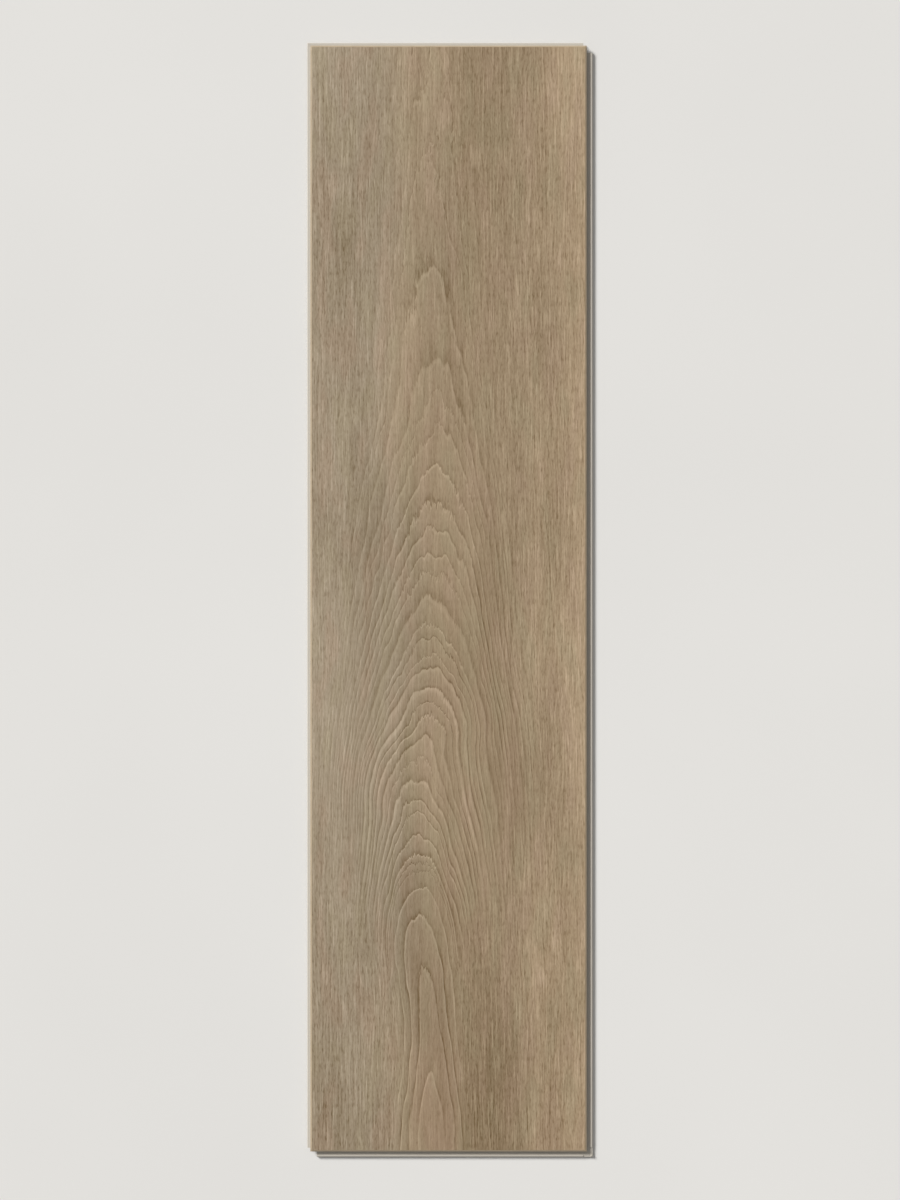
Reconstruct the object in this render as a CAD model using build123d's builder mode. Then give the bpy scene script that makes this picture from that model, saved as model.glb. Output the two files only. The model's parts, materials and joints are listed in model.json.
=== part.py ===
"""A rigid vinyl floor plank with micro-bevelled edges and an angling lock on all four sides.

The plank lies on the floor, decor face up. X runs across the plank, Y along it and Z up. The origin is
on the underside, at the middle of the face. The left side (-X) and the far end (+Y) carry the tongue.
The right side (+X) and the near end (-Y) carry the groove and its lower lip. Sizes are in millimetres.
"""

import os

from build123d import *

# Decor face, measured between the vertical planes where neighbouring planks meet
face_width = 228.6
face_length = 914.4

# Heights that make up the thickness, from the floor up
lower_lip_thickness = 2.0
tongue_thickness = 1.7
upper_lip_thickness = 2.2
slide_clearance = 0.05

# Painted micro-bevel around the decor face
bevel_width = 1.2
bevel_depth = 0.6

# Tongue and the groove that takes it
tongue_reach = 2.6
tongue_tip_radius = 0.6
tongue_end_gap = 0.3
groove_corner_radius = 0.3

# Hook on the lower lip, which drops into the notch under the neighbour's tongue side
hook_offset = 3.2
hook_slope_width = 0.35
hook_crest_width = 1.0
hook_lead_width = 0.5
hook_height = 0.7
notch_roof_gap = 0.15
notch_end_gap = 0.3

# Heights worked out from the sizes above
tongue_bottom = lower_lip_thickness + slide_clearance
tongue_top = tongue_bottom + tongue_thickness
groove_top = tongue_top + slide_clearance
plank_thickness = groove_top + upper_lip_thickness
bevel_foot = plank_thickness - bevel_depth
hook_top = lower_lip_thickness + hook_height
notch_roof = hook_top + notch_roof_gap

# Distances outwards and inwards from a joint plane
groove_depth = tongue_reach + tongue_end_gap
hook_crest_start = hook_offset + hook_slope_width
hook_crest_end = hook_crest_start + hook_crest_width
lip_reach = hook_crest_end + hook_lead_width
notch_face = hook_offset - slide_clearance
notch_face_top = notch_face + (notch_roof - tongue_bottom) * hook_slope_width / hook_height
notch_end = lip_reach + notch_end_gap


def section_corners(face_span):
    """Corners and corner radii of a section, tongue on the left and lipped groove on the right."""
    left = -face_span / 2
    right = face_span / 2
    tongue_side = [
        (left + notch_end, 0, 0),
        (left + notch_end, notch_roof, 0),
        (left + notch_face_top, notch_roof, 0),
        (left + notch_face, tongue_bottom, 0),
        (left - tongue_reach, tongue_bottom, tongue_tip_radius),
        (left - tongue_reach, tongue_top, tongue_tip_radius),
        (left, tongue_top, 0),
        (left, bevel_foot, 0),
        (left + bevel_width, plank_thickness, 0),
    ]
    groove_side = [
        (right - bevel_width, plank_thickness, 0),
        (right, bevel_foot, 0),
        (right, groove_top, 0),
        (right - groove_depth, groove_top, groove_corner_radius),
        (right - groove_depth, lower_lip_thickness, groove_corner_radius),
        (right + hook_offset, lower_lip_thickness, 0),
        (right + hook_crest_start, hook_top, 0),
        (right + hook_crest_end, hook_top, 0),
        (right + lip_reach, lower_lip_thickness, 0),
        (right + lip_reach, 0, 0),
    ]
    corners = tongue_side + groove_side
    points = [(across, height) for across, height, _ in corners]
    radii = [radius for _, _, radius in corners]
    return points, radii


# The blank is larger than the plank all round, so that each section shapes both of its edges
lock_reach = tongue_reach + lip_reach
blank_half_length = face_length / 2 + lock_reach
blank_half_width = face_width / 2 + lock_reach
end_plane = Plane(origin=(0, 0, 0), x_dir=(0, -1, 0), z_dir=(-1, 0, 0))

# The lip is trimmed where it would run past the end of a tongue, at the near left and far right corners
trim_size = lock_reach + notch_end
near_left_trim = (-face_width / 2 + notch_end, -face_length / 2, 0)
far_right_trim = (face_width / 2, face_length / 2 - notch_end, 0)

with BuildPart() as plank:
    with BuildSketch(Plane.XZ):
        with BuildLine():
            side_points, side_radii = section_corners(face_width)
            FilletPolyline(side_points, radius=side_radii, close=True)
        make_face()
    extrude(amount=blank_half_length, both=True)
    with BuildSketch(end_plane):
        with BuildLine():
            end_points, end_radii = section_corners(face_length)
            FilletPolyline(end_points, radius=end_radii, close=True)
        make_face()
    extrude(amount=blank_half_width, both=True, mode=Mode.INTERSECT)
    with Locations(near_left_trim):
        trim_align = (Align.MAX, Align.MAX, Align.MIN)
        Box(trim_size, trim_size, plank_thickness, align=trim_align, mode=Mode.SUBTRACT)
    with Locations(far_right_trim):
        trim_align = (Align.MIN, Align.MIN, Align.MIN)
        Box(trim_size, trim_size, plank_thickness, align=trim_align, mode=Mode.SUBTRACT)

plank.part.label = "plank"

os.makedirs("parts", exist_ok=True)
export_step(plank.part, "parts/plank.step")
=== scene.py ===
"""Looks of a rigid vinyl floor plank: embossed oak decor, painted bevels and milled lock edges.

The plank lies decor face up on a pale floor and is seen straight from above. Blender's sizes are in metres.
The grain's sizes are in millimetres, measured on the plank from the middle of its decor face.
"""

import json
import math
from types import SimpleNamespace

import bmesh
import bpy
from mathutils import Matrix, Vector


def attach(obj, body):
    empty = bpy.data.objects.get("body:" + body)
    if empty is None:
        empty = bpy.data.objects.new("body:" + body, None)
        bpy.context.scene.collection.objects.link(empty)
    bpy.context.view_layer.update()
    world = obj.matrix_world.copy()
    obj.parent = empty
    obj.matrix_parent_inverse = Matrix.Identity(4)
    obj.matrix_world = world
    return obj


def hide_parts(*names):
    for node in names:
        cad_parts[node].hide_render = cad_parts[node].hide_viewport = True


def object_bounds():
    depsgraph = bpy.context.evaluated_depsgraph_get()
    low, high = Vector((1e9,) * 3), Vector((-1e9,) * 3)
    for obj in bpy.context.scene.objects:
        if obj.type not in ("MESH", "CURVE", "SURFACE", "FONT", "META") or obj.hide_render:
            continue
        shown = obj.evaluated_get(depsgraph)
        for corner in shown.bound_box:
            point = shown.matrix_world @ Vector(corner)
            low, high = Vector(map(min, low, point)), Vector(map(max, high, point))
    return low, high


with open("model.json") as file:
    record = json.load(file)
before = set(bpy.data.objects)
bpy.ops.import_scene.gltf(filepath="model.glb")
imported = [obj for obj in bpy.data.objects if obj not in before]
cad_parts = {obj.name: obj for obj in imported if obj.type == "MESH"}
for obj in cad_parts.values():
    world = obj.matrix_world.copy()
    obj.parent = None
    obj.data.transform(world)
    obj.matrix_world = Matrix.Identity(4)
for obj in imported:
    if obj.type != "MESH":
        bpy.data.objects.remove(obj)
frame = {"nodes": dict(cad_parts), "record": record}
cad_low, cad_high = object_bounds()

MM = 0.001

# The decor face, from the joint planes that the record's mounts give
mounts = {mount["name"]: mount["pos_m"] for mount in frame["record"]["mounts"]}
half_width = mounts["side_groove"][0]
half_length = -mounts["end_groove"][1]
length_mm = 2 * half_length / MM


# Fields, which are numbers that vary over the plank

# How far apart in the noise the patterns with different seeds are
seed_step = 317.3


class Field:
    """A number that varies over the plank, held as a node socket, which takes part in plain arithmetic."""

    def __init__(self, tree, socket):
        self.tree = tree
        self.socket = socket

    def math(self, operation, *others):
        node = self.tree.nodes.new("ShaderNodeMath")
        node.operation = operation
        for place, value in enumerate((self, *others)):
            connect(self.tree, value, node.inputs[place])
        return Field(self.tree, node.outputs[0])

    def __add__(self, other):
        return self.math("ADD", other)

    def __sub__(self, other):
        return self.math("SUBTRACT", other)

    def __mul__(self, other):
        return self.math("MULTIPLY", other)

    def __truediv__(self, other):
        return self.math("DIVIDE", other)

    def power(self, exponent):
        return self.math("POWER", exponent)

    def size(self):
        return self.math("ABSOLUTE")

    def ramp(self, start, end, low=0.0, high=1.0):
        """Goes smoothly from low to high as this field goes from start to end."""
        node = self.tree.nodes.new("ShaderNodeMapRange")
        node.interpolation_type = "SMOOTHSTEP"
        values = {"Value": self, "From Min": start, "From Max": end, "To Min": low, "To Max": high}
        for name, value in values.items():
            connect(self.tree, value, node.inputs[name])
        return Field(self.tree, node.outputs["Result"])

    def between(self, low, high):
        """Goes evenly from low to high as this field goes from 0 to 1."""
        return self * (high - low) + low

    def curve(self, points):
        """Follows a smooth curve through the given (input, output) points."""
        node = self.tree.nodes.new("ShaderNodeFloatCurve")
        inputs, outputs = zip(*points)
        low, high = min(outputs), max(outputs)
        line = node.mapping.curves[0]
        while len(line.points) < len(points):
            line.points.new(0.5, 0.5)
        for point, (across, value) in zip(line.points, points):
            point.location = (across / inputs[-1], (value - low) / (high - low))
        node.mapping.update()
        connect(self.tree, self / inputs[-1], node.inputs["Value"])
        return Field(self.tree, node.outputs["Value"]).between(low, high)


def connect(tree, value, socket):
    """Links a field or a socket into a socket, or sets a plain value on it."""
    if isinstance(value, Field):
        value = value.socket
    if isinstance(value, bpy.types.NodeSocket):
        tree.links.new(value, socket)
    elif socket.type == "RGBA":
        socket.default_value = (*value, 1.0)
    else:
        socket.default_value = value


def noise(across, along, across_size, along_size, seed, detail):
    """Signed noise whose blotches have about these sizes across and along the plank, in millimetres."""
    tree = across.tree
    place = tree.nodes.new("ShaderNodeCombineXYZ")
    connect(tree, across / across_size + seed * seed_step, place.inputs["X"])
    connect(tree, along / along_size, place.inputs["Y"])
    node = tree.nodes.new("ShaderNodeTexNoise")
    node.noise_dimensions = "2D"
    node.normalize = False
    node.inputs["Scale"].default_value = 1.0
    node.inputs["Detail"].default_value = detail
    tree.links.new(place.outputs[0], node.inputs["Vector"])
    return Field(tree, node.outputs[0])


def chance(number):
    """A fixed random number from 0 to 1 for each whole number."""
    node = number.tree.nodes.new("ShaderNodeTexWhiteNoise")
    node.noise_dimensions = "1D"
    connect(number.tree, number, node.inputs["W"])
    return Field(number.tree, node.outputs["Value"])


def mixed(grain, shares):
    """Sum of the grain's fields that are named, each times its share."""
    first, *others = [getattr(grain, name) * share for name, share in shares.items()]
    return sum(others, first)


def place_on_plank(tree, position):
    """X, Y and Z of a position socket, as fields in millimetres."""
    split = tree.nodes.new("ShaderNodeSeparateXYZ")
    tree.links.new(position, split.inputs[0])
    return [Field(tree, output) / MM for output in split.outputs]


# Grain of the decor

# Heart of the log under the plank: (height above the near end, offset from the middle), in millimetres
heart_line = [
    (0, -12),
    (70, -13.5),
    (145, -19.5),
    (190, -25),
    (270, -25),
    (300, -28),
    (355, -17),
    (410, -16),
    (560, -9),
    (740, -15),
    (length_mm, -11),
]

# Distance from the decor face down to the heart: (height above the near end, distance), in millimetres
heart_depth = [
    (0, 0.5),
    (13, 1.5),
    (70, 12),
    (145, 18.7),
    (190, 24.7),
    (230, 33),
    (255, 38),
    (305, 46),
    (355, 53),
    (410, 64),
    (520, 79),
    (640, 89),
    (780, 95),
    (length_mm, 98),
]

# Year rings, wide near the heart and narrow outside: (distance from the heart in millimetres, rings so far)
ring_count = [
    (0, 0),
    (12, 1),
    (25, 3),
    (31, 4),
    (38, 7.5),
    (64, 18),
    (175, 64),
]

# Offset of the heart on average, which the rings follow away from it
heart_mean = -18

# How steeply the heart goes down at the arches
depth_slope = 0.16

# Shape of a ring's line on the face, in millimetres: a steep wall with a crest on its inner side, where a
# painted highlight lies,
# # and a gentle dip on its outer side
dip_width = 1.8
wall_width = 0.5
line_width = 1.3
crest_highlight_width = 1.4

# Lines are wider where the rings are cut at a flat angle, by this power of the rings for each millimetre
widening_power = -0.6
widening_scale = 1.52

# Patterns: (size across the grain, size along it, seed, detail), the sizes in millimetres
wide_sway = (45, 190, 3, 1)
fine_sway = (14, 70, 4, 1)
ring_wobble = (9, 36, 16, 1)
arch_teeth = (1.3, 9, 1, 2)
toothed_spots = (60, 26, 18, 1)
depth_drift = (9, 40, 2, 1)
line_patches = (18, 110, 6, 2)
line_breaks = (2.0, 22, 7, 2)
pore_marks = (1.25, 6.5, 8, 1)
hair_lines = (1.25, 27, 9, 1)
dash_marks = (1.2, 3.5, 10, 1)
tick_marks = (0.45, 8, 17, 1)
stripe_lines = (2.0, 45, 11, 1)
streak_lines = (6, 170, 12, 2)
band_lines = (20, 330, 13, 1)
cloud_spots = (70, 200, 14, 1)
tint_spots = (17, 60, 15, 1)

# The pattern of uneven ring widths, whose sizes are in rings
ring_widths = (2.2, 1000, 5, 1)

# How far the patterns move the rings, in millimetres
wide_sway_reach = 3
fine_sway_reach = 0.6
heart_wobble_reach = 0.9
outer_wobble_reach = 0.5
tooth_reach = 3
drift_reach = 4

# Share of the sway that the stripes follow
stripe_sway_share = 0.5

# Arches are round, which is a power of 2, and the loops near the heart are more pointed by this much
round_power = 2
loop_point = 0.65

# A zone is (start, end), or (start, end, low, high) where it doesn't go from 0 to 1.
# Zones by millimetres above the near end
loop_heights = (185, 100)
near_flank = (220, 140, 0.0, 0.12)

# Zones by millimetres beside the heart
away_zone = (15, 75)
left_strength = (-50, -12, 0.66, 1.0)
right_strength = (8, 40, 1.0, 1.15)

# Zones by distance beside the heart, as a share of the heart's depth or of the ring's radius
crown_zone = (0.7, 0.2, 0.15, 1.0)
flank_zone = (0.78, 0.97)
leg_zone = (0.55, 0.95)

# Zones by the ring's radius in millimetres. The second one gives rings for each millimetre of radius
uneven_widths = (20, 40, 0.2, 0.55)
ring_density = (24, 38, 0.17, 0.38)
outer_rings = (78, 115)
straight_rings = (26, 33)
inner_rings = (33, 22)
heartwood_rings = (30, 12)

# Zones by the value of a pattern's noise
tooth_zone = (-0.25, 0.3, 0.2, 1.0)
patch_zone = (-0.45, 0.1, 0.55, 1.0)
break_zone = (-0.25, 0.35)
mark_zone = (0.1, 0.6)
hair_zone = (0.15, 0.6)

# Strength of the weakest ring's line
weakest_ring = 0.3

# Shares of a line and of a groove that are left where the rings run straight
straight_line_share = 0.75
straight_groove_share = 0.5

# What the legs of the inner arches lose where they are broken
leg_fade = 0.7


def oak_grain(x, y):
    """The figure of the decor: year rings cut by the face, the vessels in them and the fibres between, with
    a painted highlight on the rings' crests.
    """
    height = y + length_mm / 2
    sway = noise(x, y, *wide_sway) * wide_sway_reach + noise(x, y, *fine_sway) * fine_sway_reach
    heart = height.curve(heart_line)
    away = (x - heart).size().ramp(*away_zone)
    wobble = noise(x, y, *ring_wobble) * away.between(heart_wobble_reach, outer_wobble_reach)
    aside = x + sway + wobble - heart + (heart - heart_mean) * away
    distance = aside.size()
    depth = height.curve(heart_depth)

    # Where the lines cross the fibres, at the top of an arch, some of them are toothed along the fibres
    crown = (distance / depth).ramp(*crown_zone)
    toothed = noise(x, y, *toothed_spots).ramp(*tooth_zone)
    teeth = noise(x, y, *arch_teeth) * crown * toothed * tooth_reach
    drift = noise(x, y, *depth_drift) * drift_reach
    depth = depth + (teeth + drift) * depth_slope

    # Rings round the heart
    bow = height.ramp(*loop_heights) * (away - 1) * loop_point + round_power
    radius = (distance.power(bow) + depth.power(bow)).power(bow.power(-1))
    rings = radius.curve(ring_count)
    rings = rings + noise(rings, rings, *ring_widths) * radius.ramp(*uneven_widths)
    ring = rings.math("FLOOR")
    phase = rings.math("FRACT")

    # Rings for each millimetre of the face, which give the distances outwards and inwards from a line
    rise = depth * depth_slope
    density = (aside * aside + rise * rise).math("SQRT") / radius
    density = density * radius.ramp(*ring_density)
    reach = density.power(widening_power) * widening_scale
    outside = phase * reach
    inside = phase.between(1, 0) * reach
    dip = outside.ramp(dip_width, 0.0) + inside.ramp(wall_width, 0.0)
    line = outside.ramp(line_width, 0.0) + inside.ramp(wall_width / 2, 0.0)
    # Painted highlight: a pale band on the ridge just inside each ring's wall, which lightens the decor's
    # colour
    crest = inside.ramp(0.0, wall_width) * inside.ramp(crest_highlight_width, wall_width)

    # Beside the arches the rings run straight, as fine broken lines
    lean = distance / radius
    flank = lean + height.ramp(*near_flank)
    straight = flank.ramp(*flank_zone).math("MAXIMUM", radius.ramp(*outer_rings))
    straight = straight * radius.ramp(*straight_rings)
    curved = straight.between(1, 0)
    patches = noise(x, y, *line_patches).ramp(*patch_zone)
    unbroken = noise(x, y, *line_breaks).ramp(*break_zone)
    inner_legs = lean.ramp(*leg_zone) * radius.ramp(*inner_rings)
    strength = chance(ring).between(weakest_ring, 1) * patches
    strength = strength * (unbroken * straight * straight_line_share + curved)
    strength = strength * (inner_legs * (unbroken - 1) * leg_fade + 1)
    strength = strength * aside.ramp(*left_strength) * aside.ramp(*right_strength)

    return SimpleNamespace(
        height=height,
        straight=straight,
        # The groove is pressed into the face, and the decor is also darker in it: the rings' darker
        # vessels, with painted shade in the groove
        groove=dip * strength * straight.between(1, straight_groove_share),
        line=line * strength,
        crest=crest * strength,
        growth=(phase - 0.5) * curved,
        heartwood=radius.ramp(*heartwood_rings),
        pores=noise(x, y, *pore_marks).ramp(*mark_zone),
        hairs=noise(x, y, *hair_lines).ramp(*hair_zone),
        dashes=noise(x, y, *dash_marks),
        ticks=noise(x, y, *tick_marks).ramp(*mark_zone),
        stripes=noise(x + sway * stripe_sway_share, y, *stripe_lines),
        streaks=noise(x + sway, y, *streak_lines),
        bands=noise(x, y, *band_lines),
        clouds=noise(x, y, *cloud_spots),
        tint=noise(x, y, *tint_spots),
    )


# Mesh of the plank

# The grid that carries the emboss, finer across the grain than along it
columns = 300
rows = 316

# Points closer than this are merged
weld_distance = 1e-6

# Faces that meet at less than this angle are merged
flat_angle = math.radians(0.2)

# Edges whose faces meet at this angle or more are drawn sharp
sharp_angle = math.radians(40)

# Depth of the grooves in millimetres, and of the stripes, as a zone by the value of their noise
groove_depth = 0.1
stripe_depth = (-0.5, 0.5, 0.0, 0.04)

# Points within this many millimetres of the top are on the decor face
face_tolerance = 0.01

# Columns of the map for baking, as shares of its width. The decor, with its bevels, takes most of it
map_columns = {
    "decor": (0.0, 0.84),
    "backing": (0.84, 0.90),
    "upward": (0.90, 0.935),
    "downward": (0.935, 0.97),
    "outward": (0.97, 0.985),
    "inward": (0.985, 1.0),
}
map_margin = 0.002

# The lock edges lie within this distance of the joint planes
lock_reach = 0.006

# A face of the lock edges is called level where its normal's Z is larger than this
level_normal = 0.5


def way_round(x, y):
    """How far round the plank's edge a point lies, from 0 to 1, starting at the near left corner."""
    width = 2 * half_width
    length = 2 * half_length
    if abs(x) - half_width > abs(y) - half_length:
        way = width + half_length + y if x > 0 else 2 * width + length + half_length - y
    else:
        way = half_width + x if y < 0 else width + length + half_width - x
    return min(max(way / (2 * (width + length)), 0.0), 1.0)


def map_column(face, kind):
    """Name of the map's column for a face: by its material, or on the lock edges by the way it faces."""
    if kind in ("decor", "bevel"):
        return "decor"
    if kind == "backing":
        return "backing"
    if abs(face.normal.z) > level_normal:
        return "upward" if face.normal.z > 0 else "downward"
    centre = face.calc_center_median()
    turned_out = face.normal.x * centre.x + face.normal.y * centre.y > 0
    return "outward" if turned_out else "inward"


def map_place(place, column):
    """Shares of the column's width and height: from above, or on the lock edges by the way round."""
    size = cad_high - cad_low
    if column in ("decor", "backing"):
        return (place.x - cad_low.x) / size.x, (place.y - cad_low.y) / size.y
    up = way_round(place.x, place.y)
    if column in ("upward", "downward"):
        beyond = max(abs(place.x) - half_width, abs(place.y) - half_length)
        return min(max(beyond / lock_reach, -1.0), 1.0) / 2 + 0.5, up
    return place.z / size.z, up


def lay_out_map(solid, materials):
    """Gives the solid its map for baking."""
    layer = solid.loops.layers.uv.new("OFBake")
    for face in solid.faces:
        column = map_column(face, materials[face.material_index])
        start, end = map_columns[column]
        width = end - start - 2 * map_margin
        for loop in face.loops:
            across, up = map_place(loop.vert.co, column)
            u = start + map_margin + width * across
            v = map_margin + (1 - 2 * map_margin) * up
            loop[layer].uv = (u, v)


def spaced(inner, outer, count):
    """Grid lines: one on each joint plane, and evenly spaced ones between the bevels' upper edges."""
    step = 2 * inner / count
    return [-outer] + [step * index - inner for index in range(count + 1)] + [outer]


def open_plank(materials):
    """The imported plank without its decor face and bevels, and the measures of what was taken off."""
    source = frame["nodes"]["plank"].data.copy()
    if "custom_normal" in source.attributes:
        source.attributes.remove(source.attributes["custom_normal"])
    solid = bmesh.new()
    solid.from_mesh(source)
    bmesh.ops.remove_doubles(solid, verts=solid.verts[:], dist=weld_distance)
    bmesh.ops.dissolve_limit(solid, angle_limit=flat_angle, verts=solid.verts[:], edges=solid.edges[:])

    below_top = cad_high.z - weld_distance
    face_corners = [vert.co for vert in solid.verts if vert.co.z > below_top]
    rim = SimpleNamespace(
        half_width=max(corner.x for corner in face_corners),
        half_length=max(corner.y for corner in face_corners),
        foot=max(vert.co.z for vert in solid.verts if vert.co.z < below_top),
    )
    below_foot = rim.foot - weld_distance
    upper = [face for face in solid.faces if min(vert.co.z for vert in face.verts) > below_foot]
    bmesh.ops.delete(solid, geom=upper, context="FACES")
    for face in solid.faces:
        under = max(vert.co.z for vert in face.verts) < weld_distance
        face.material_index = materials.index("backing" if under else "core")
    for edge in solid.edges:
        edge.smooth = edge.is_manifold and edge.calc_face_angle() < sharp_angle
    return solid, rim


def divide_rim(solid, across, along):
    """Cuts the open edges of the solid where the grid's lines meet them."""
    for edge in [edge for edge in solid.edges if edge.is_boundary]:
        axis = 0 if abs(edge.verts[0].co.x - edge.verts[1].co.x) > half_width else 1
        inner_lines = (across, along)[axis][1:-1]
        made = bmesh.ops.subdivide_edges(solid, edges=[edge], cuts=len(inner_lines))
        new_verts = [item for item in made["geom_inner"] if isinstance(item, bmesh.types.BMVert)]
        new_verts.sort(key=lambda vert: vert.co[axis])
        for vert, line in zip(new_verts, inner_lines):
            vert.co[axis] = line


def add_top(solid, across, along, foot, materials):
    """Adds the decor face as a fine grid, whose outermost strips are the bevels with their mitres."""
    last_column = len(across) - 1
    last_row = len(along) - 1
    grid = []
    for i, x in enumerate(across):
        on_side = i in (0, last_column)
        heights = [foot if on_side or j in (0, last_row) else cad_high.z for j in range(len(along))]
        grid.append([solid.verts.new((x, y, z)) for y, z in zip(along, heights)])
    for i in range(last_column):
        for j in range(last_row):
            corners = [grid[i][j], grid[i + 1][j], grid[i + 1][j + 1], grid[i][j + 1]]
            on_side = i in (0, last_column - 1)
            on_end = j in (0, last_row - 1)
            if on_side and on_end:
                start = 0 if (i == 0) == (j == 0) else 1
                turned = corners[start:] + corners[:start]
                faces = [solid.faces.new(turned[:3]), solid.faces.new((turned[2], turned[3], turned[0]))]
            else:
                faces = [solid.faces.new(corners)]
            for face in faces:
                face.smooth = True
                face.material_index = materials.index("bevel" if on_side or on_end else "decor")


def plank_mesh(materials):
    """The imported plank's mesh, with its decor face and bevels replaced by a fine grid."""
    solid, rim = open_plank(materials)
    across = spaced(rim.half_width, half_width, columns)
    along = spaced(rim.half_length, half_length, rows)
    divide_rim(solid, across, along)
    add_top(solid, across, along, rim.foot, materials)
    meeting = [vert for vert in solid.verts if abs(vert.co.z - rim.foot) < weld_distance]
    bmesh.ops.remove_doubles(solid, verts=meeting, dist=weld_distance)
    for edge in solid.edges:
        if len({face.material_index for face in edge.link_faces}) > 1:
            edge.smooth = False
    solid.normal_update()
    lay_out_map(solid, materials)
    mesh = bpy.data.meshes.new("vinyl_plank")
    solid.to_mesh(mesh)
    solid.free()
    return mesh


def emboss(piece):
    """Presses the grain into the decor face, and keeps the result as the piece's mesh."""
    tree = bpy.data.node_groups.new("emboss", "GeometryNodeTree")
    tree.interface.new_socket("Geometry", in_out="INPUT", socket_type="NodeSocketGeometry")
    tree.interface.new_socket("Geometry", in_out="OUTPUT", socket_type="NodeSocketGeometry")
    given = tree.nodes.new("NodeGroupInput")
    result = tree.nodes.new("NodeGroupOutput")
    position = tree.nodes.new("GeometryNodeInputPosition")
    x, y, z = place_on_plank(tree, position.outputs[0])
    grain = oak_grain(x, y)
    on_face = z.math("GREATER_THAN", cad_high.z / MM - face_tolerance)
    pressed = (grain.groove * groove_depth + grain.stripes.ramp(*stripe_depth)) * on_face
    offset = tree.nodes.new("ShaderNodeCombineXYZ")
    connect(tree, pressed * -MM, offset.inputs["Z"])
    moved = tree.nodes.new("GeometryNodeSetPosition")
    tree.links.new(given.outputs[0], moved.inputs["Geometry"])
    tree.links.new(offset.outputs[0], moved.inputs["Offset"])
    tree.links.new(moved.outputs[0], result.inputs[0])

    modifier = piece.modifiers.new("emboss", "NODES")
    modifier.node_group = tree
    shaped = piece.evaluated_get(bpy.context.evaluated_depsgraph_get())
    piece.data = bpy.data.meshes.new_from_object(shaped)
    piece.modifiers.clear()


# Materials

specular_level = 0.25

# How much a change of tone moves red, green and blue: dark grain is warmer and light grain is paler
tone_weights = (0.88, 1.0, 1.22)


def srgb(red, green, blue):
    """A colour given in bytes, as the linear colour that the nodes take."""
    return tuple(((value / 255 + 0.055) / 1.055) ** 2.4 for value in (red, green, blue))


def new_material(name, roughness):
    """A material with its node tree, its Principled shader and the place on the plank in millimetres."""
    material = bpy.data.materials.new(name)
    material.use_nodes = True
    tree = material.node_tree
    shader = tree.nodes["Principled BSDF"]
    shader.inputs["Roughness"].default_value = roughness
    shader.inputs["Specular IOR Level"].default_value = specular_level
    coordinates = tree.nodes.new("ShaderNodeTexCoord")
    x, y, z = place_on_plank(tree, coordinates.outputs["Object"])
    return SimpleNamespace(material=material, tree=tree, shader=shader, x=x, y=y, z=z)


def blend(tree, amount, first, second):
    """Mixes two colours by a field."""
    node = tree.nodes.new("ShaderNodeMix")
    node.data_type = "RGBA"
    connect(tree, amount, node.inputs["Factor"])
    connect(tree, first, node.inputs["A"])
    connect(tree, second, node.inputs["B"])
    return node.outputs["Result"]


def brighten(tree, colour, factor):
    """Multiplies a colour by a field."""
    node = tree.nodes.new("ShaderNodeVectorMath")
    node.operation = "SCALE"
    connect(tree, colour, node.inputs[0])
    connect(tree, factor, node.inputs["Scale"])
    return node.outputs[0]


def shade(tree, colour, tone):
    """Makes a colour lighter or darker, paler as it grows lighter and warmer as it grows darker."""
    change = brighten(tree, tone_weights, tone)
    node = tree.nodes.new("ShaderNodeVectorMath")
    node.operation = "MULTIPLY_ADD"
    connect(tree, change, node.inputs[0])
    connect(tree, colour, node.inputs[1])
    connect(tree, colour, node.inputs[2])
    return node.outputs[0]


def add_bump(made, height):
    """Bump from a height in millimetres."""
    bump = made.tree.nodes.new("ShaderNodeBump")
    bump.inputs["Strength"].default_value = 1.0
    bump.inputs["Distance"].default_value = MM
    connect(made.tree, height, bump.inputs["Height"])
    made.tree.links.new(bump.outputs[0], made.shader.inputs["Normal"])


# Colours of the decor
plain_oak = srgb(153, 133, 106)
greyed_oak = srgb(152, 137, 115)
brown_oak = srgb(136, 115, 88)
rosy_oak = srgb(159, 136, 107)
heart_oak = srgb(155, 131, 106)
warm_oak = srgb(157, 132, 109)
cool_oak = srgb(148, 134, 105)

# Where they lie, by millimetres from the plank's middle line, which the clouds move by this much
colour_wander = 30
greyed_zone = (0, -75, 0.0, 0.8)
brown_left = (-20, 25)
brown_right = (95, 40)
rosy_zone = (55, 105, 0.0, 0.7)

# Share of brown by millimetres above the near end, and share of the heart's colour
brown_heights = (700, 0, 0.25, 0.65)
heart_share = 0.6

# Warm and cool tints, by the value of their pattern's noise
warm_zone = (0.0, 0.7, 0.0, 0.32)
cool_zone = (0.0, -0.7, 0.0, 0.32)

# How much the parts of the grain lighten or darken the decor, with the painted highlight on the crests and
# the painted shade in the grooves. The fibres do so less on the arches
fibre_tones = {"stripes": -0.14, "dashes": -0.1, "pores": -0.22, "hairs": 0.28}
arch_fibre_share = 0.5
grain_tones = {
    "bands": 0.06,
    "streaks": 0.09,
    "clouds": 0.14,
    "growth": 0.14,
    "ticks": -0.1,
    # The groove darkens the decor where the emboss is pressed in: the rings' darker vessels, with painted
    # shade in the groove
    "groove": -0.08,
    "line": -0.3,
    # Painted highlight on the ridge just inside each ring's wall
    "crest": 0.36,
}

# Tone by millimetres above the near end, and by millimetres from the middle line towards the two sides
height_tone = (0, 300, -0.05, 0.05)
right_tone = (75, 120, 0.0, 0.22)
left_tone = (-85, -114, 0.0, 0.05)

decor_roughness = 0.72
dash_roughness = 0.1
decor_heights_mm = {"groove": -0.09, "pores": -0.02, "hairs": 0.02, "ticks": -0.02}


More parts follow.
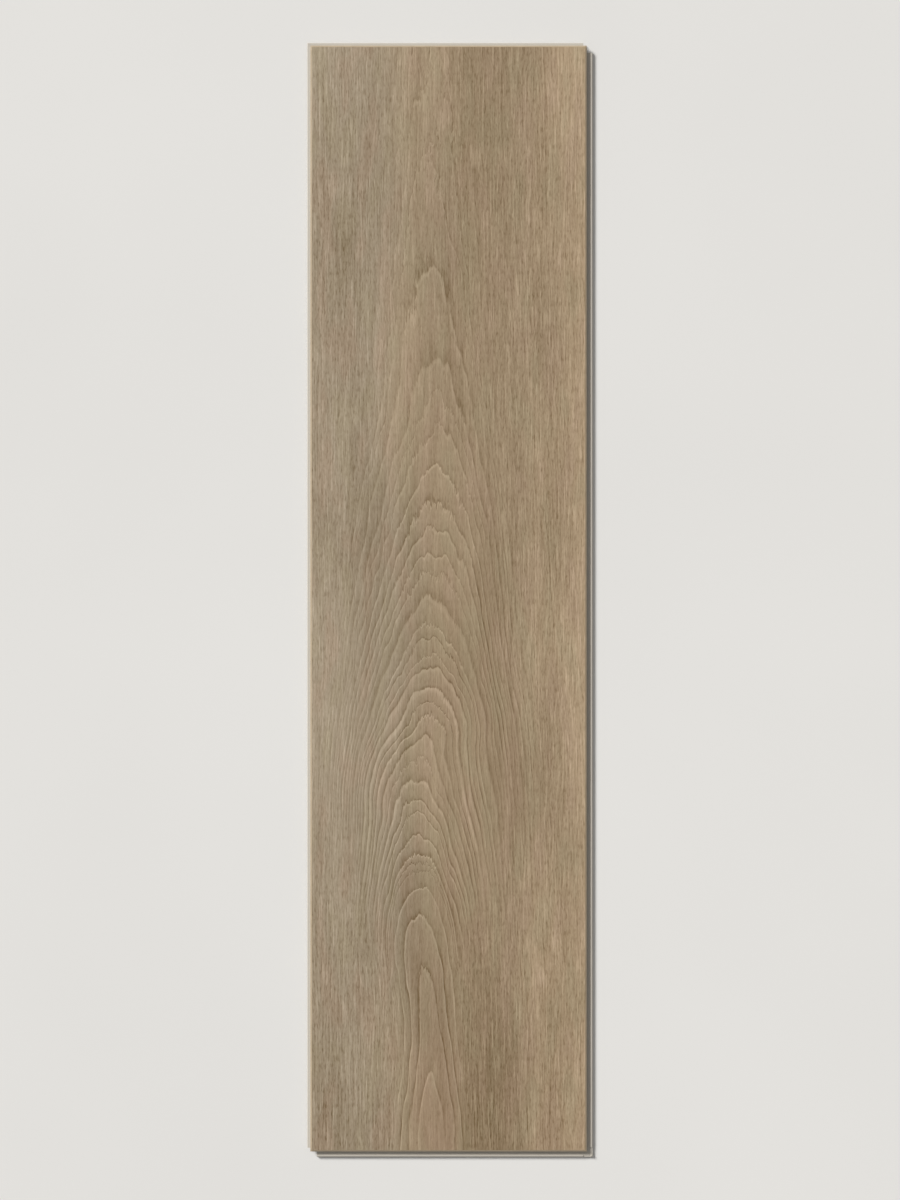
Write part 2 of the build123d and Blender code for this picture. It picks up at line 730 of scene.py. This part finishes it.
def decor_material():
    """Greyed oak print, in register with the emboss, with a painted highlight on the rings' crests and
    darker grooves that hold the rings' darker vessels and painted shade.
    """
    made = new_material("oak_decor", decor_roughness)
    tree, x = made.tree, made.x
    grain = oak_grain(x, made.y)

    place = x + grain.clouds * colour_wander
    brown = place.ramp(*brown_left) * place.ramp(*brown_right) * grain.height.ramp(*brown_heights)
    colour = blend(tree, place.ramp(*greyed_zone), plain_oak, greyed_oak)
    colour = blend(tree, brown, colour, brown_oak)
    colour = blend(tree, place.ramp(*rosy_zone), colour, rosy_oak)
    colour = blend(tree, grain.heartwood * heart_share, colour, heart_oak)
    colour = blend(tree, grain.tint.ramp(*warm_zone), colour, warm_oak)
    colour = blend(tree, grain.tint.ramp(*cool_zone), colour, cool_oak)

    fibres = mixed(grain, fibre_tones) * grain.straight.between(arch_fibre_share, 1)
    tone = mixed(grain, grain_tones) + fibres
    tone = tone + grain.height.ramp(*height_tone) + x.ramp(*right_tone) + x.ramp(*left_tone)
    connect(tree, shade(tree, colour, tone), made.shader.inputs["Base Color"])
    connect(tree, grain.dashes * dash_roughness + decor_roughness, made.shader.inputs["Roughness"])
    add_bump(made, mixed(grain, decor_heights_mm))
    return made.material


bevel_paint = srgb(170, 153, 128)
bevel_roughness = 0.55
bevel_blotches = (9, 2, 21, 3)
blotch_tone = 0.08
bevel_dents = (3, 0.5, 22, 2)
dent_height_mm = 0.015


def bevel_material():
    """Paler paint that is rolled into the bevel."""
    made = new_material("painted_bevel", bevel_roughness)
    along = made.x + made.y
    tone = noise(along, made.z, *bevel_blotches) * blotch_tone + 1
    connect(made.tree, brighten(made.tree, bevel_paint, tone), made.shader.inputs["Base Color"])
    add_bump(made, noise(along, made.z, *bevel_dents) * dent_height_mm)
    return made.material


core_colour = srgb(190, 183, 171)
core_roughness = 0.65
milling_lines = (0.18, 45, 31, 2)
milling_tone = 0.07
milling_height_mm = 0.012
core_speckle = (0.45, 0.45, 32, 2)
speckle_tone = 0.08
speckle_height_mm = 0.006


def core_material():
    """Stone-filled vinyl, milled along the edges."""
    made = new_material("milled_core", core_roughness)
    x, y, z = made.x, made.y, made.z
    out_side = x.size() - half_width / MM
    out_end = y.size() - half_length / MM
    outwards = out_side.math("MAXIMUM", out_end)
    milling = noise(outwards + z, x + y, *milling_lines)
    speckle = noise(x + z, y + z, *core_speckle)
    tone = milling * milling_tone + speckle * speckle_tone + 1
    connect(made.tree, brighten(made.tree, core_colour, tone), made.shader.inputs["Base Color"])
    add_bump(made, milling * milling_height_mm + speckle * speckle_height_mm)
    return made.material


backing_colour = srgb(172, 166, 156)
backing_roughness = 0.7
backing_cloth = (0.9, 0.9, 41, 2)
cloth_tone = 0.07
cloth_height_mm = 0.03
backing_drift = (60, 140, 42, 2)
drift_tone = 0.05


def backing_material():
    """Plain underside with a fine calendered texture."""
    made = new_material("plain_backing", backing_roughness)
    cloth = noise(made.x, made.y, *backing_cloth)
    drift = noise(made.x, made.y, *backing_drift)
    tone = cloth * cloth_tone + drift * drift_tone + 1
    connect(made.tree, brighten(made.tree, backing_colour, tone), made.shader.inputs["Base Color"])
    add_bump(made, cloth * cloth_height_mm)
    return made.material


makers = {
    "decor": decor_material,
    "bevel": bevel_material,
    "core": core_material,
    "backing": backing_material,
}
plank = bpy.data.objects.new("vinyl_plank", plank_mesh(list(makers)))
bpy.context.collection.objects.link(plank)
for make in makers.values():
    plank.data.materials.append(make())
emboss(plank)
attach(plank, "root")
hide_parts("plank")


# Floor, light and camera

floor_half = 20.0
floor_colour = srgb(226, 224, 220)
floor_roughness = 0.9
floor_clouds = (300, 300, 51, 2)
floor_tone = 0.015

# The sun's share of the light on a level face, and how bright the sky is where it is seen
sun_share = 0.7
sun_elevation = math.radians(32)
sun_heading = math.radians(140)
sun_softness = math.radians(20)
seen_sky = 0.8

# The frame's height at the decor face, in metres
frame_height = 0.992
lens_mm = 85
sensor_mm = 36


def add_floor():
    """A plain pale floor."""
    mesh = bpy.data.meshes.new("floor")
    corners = [(-floor_half, -floor_half, 0), (floor_half, -floor_half, 0)]
    corners += [(floor_half, floor_half, 0), (-floor_half, floor_half, 0)]
    mesh.from_pydata(corners, [], [(0, 1, 2, 3)])
    floor = bpy.data.objects.new("floor", mesh)
    bpy.context.collection.objects.link(floor)
    made = new_material("pale_floor", floor_roughness)
    tone = noise(made.x, made.y, *floor_clouds) * floor_tone + 1
    connect(made.tree, brighten(made.tree, floor_colour, tone), made.shader.inputs["Base Color"])
    mesh.materials.append(made.material)


def add_light():
    """A soft sun from the upper left, and an even sky that fills the shadows."""
    lamp = bpy.data.lights.new("key", "SUN")
    lamp.energy = math.pi * sun_share / math.sin(sun_elevation)
    lamp.angle = sun_softness
    key = bpy.data.objects.new("key", lamp)
    key.rotation_euler = (0, math.pi / 2 - sun_elevation, sun_heading)
    bpy.context.collection.objects.link(key)

    world = bpy.data.worlds.new("studio")
    world.use_nodes = True
    tree = world.node_tree
    sky = tree.nodes["Background"]
    ray = tree.nodes.new("ShaderNodeLightPath")
    kinds = ("Is Camera Ray", "Is Glossy Ray", "Is Transmission Ray")
    camera, glossy, transmission = [Field(tree, ray.outputs[kind]) for kind in kinds]
    seen = (camera + glossy + transmission).math("MINIMUM", 1.0)
    sky.inputs["Color"].default_value = (1, 1, 1, 1)
    connect(tree, seen.between(1 - sun_share, seen_sky), sky.inputs["Strength"])
    bpy.context.scene.world = world


def add_camera():
    """Looks straight down on the middle of the plank, with the plank's length upright in the frame."""
    data = bpy.data.cameras.new("camera")
    data.lens = lens_mm
    data.sensor_width = sensor_mm
    camera = bpy.data.objects.new("camera", data)
    middle = (cad_low + cad_high) / 2
    camera.location = (middle.x, middle.y, cad_high.z + frame_height * lens_mm / sensor_mm)
    bpy.context.collection.objects.link(camera)
    bpy.context.scene.camera = camera


add_floor()
add_light()
add_camera()
bpy.context.scene.view_settings.view_transform = "Standard"
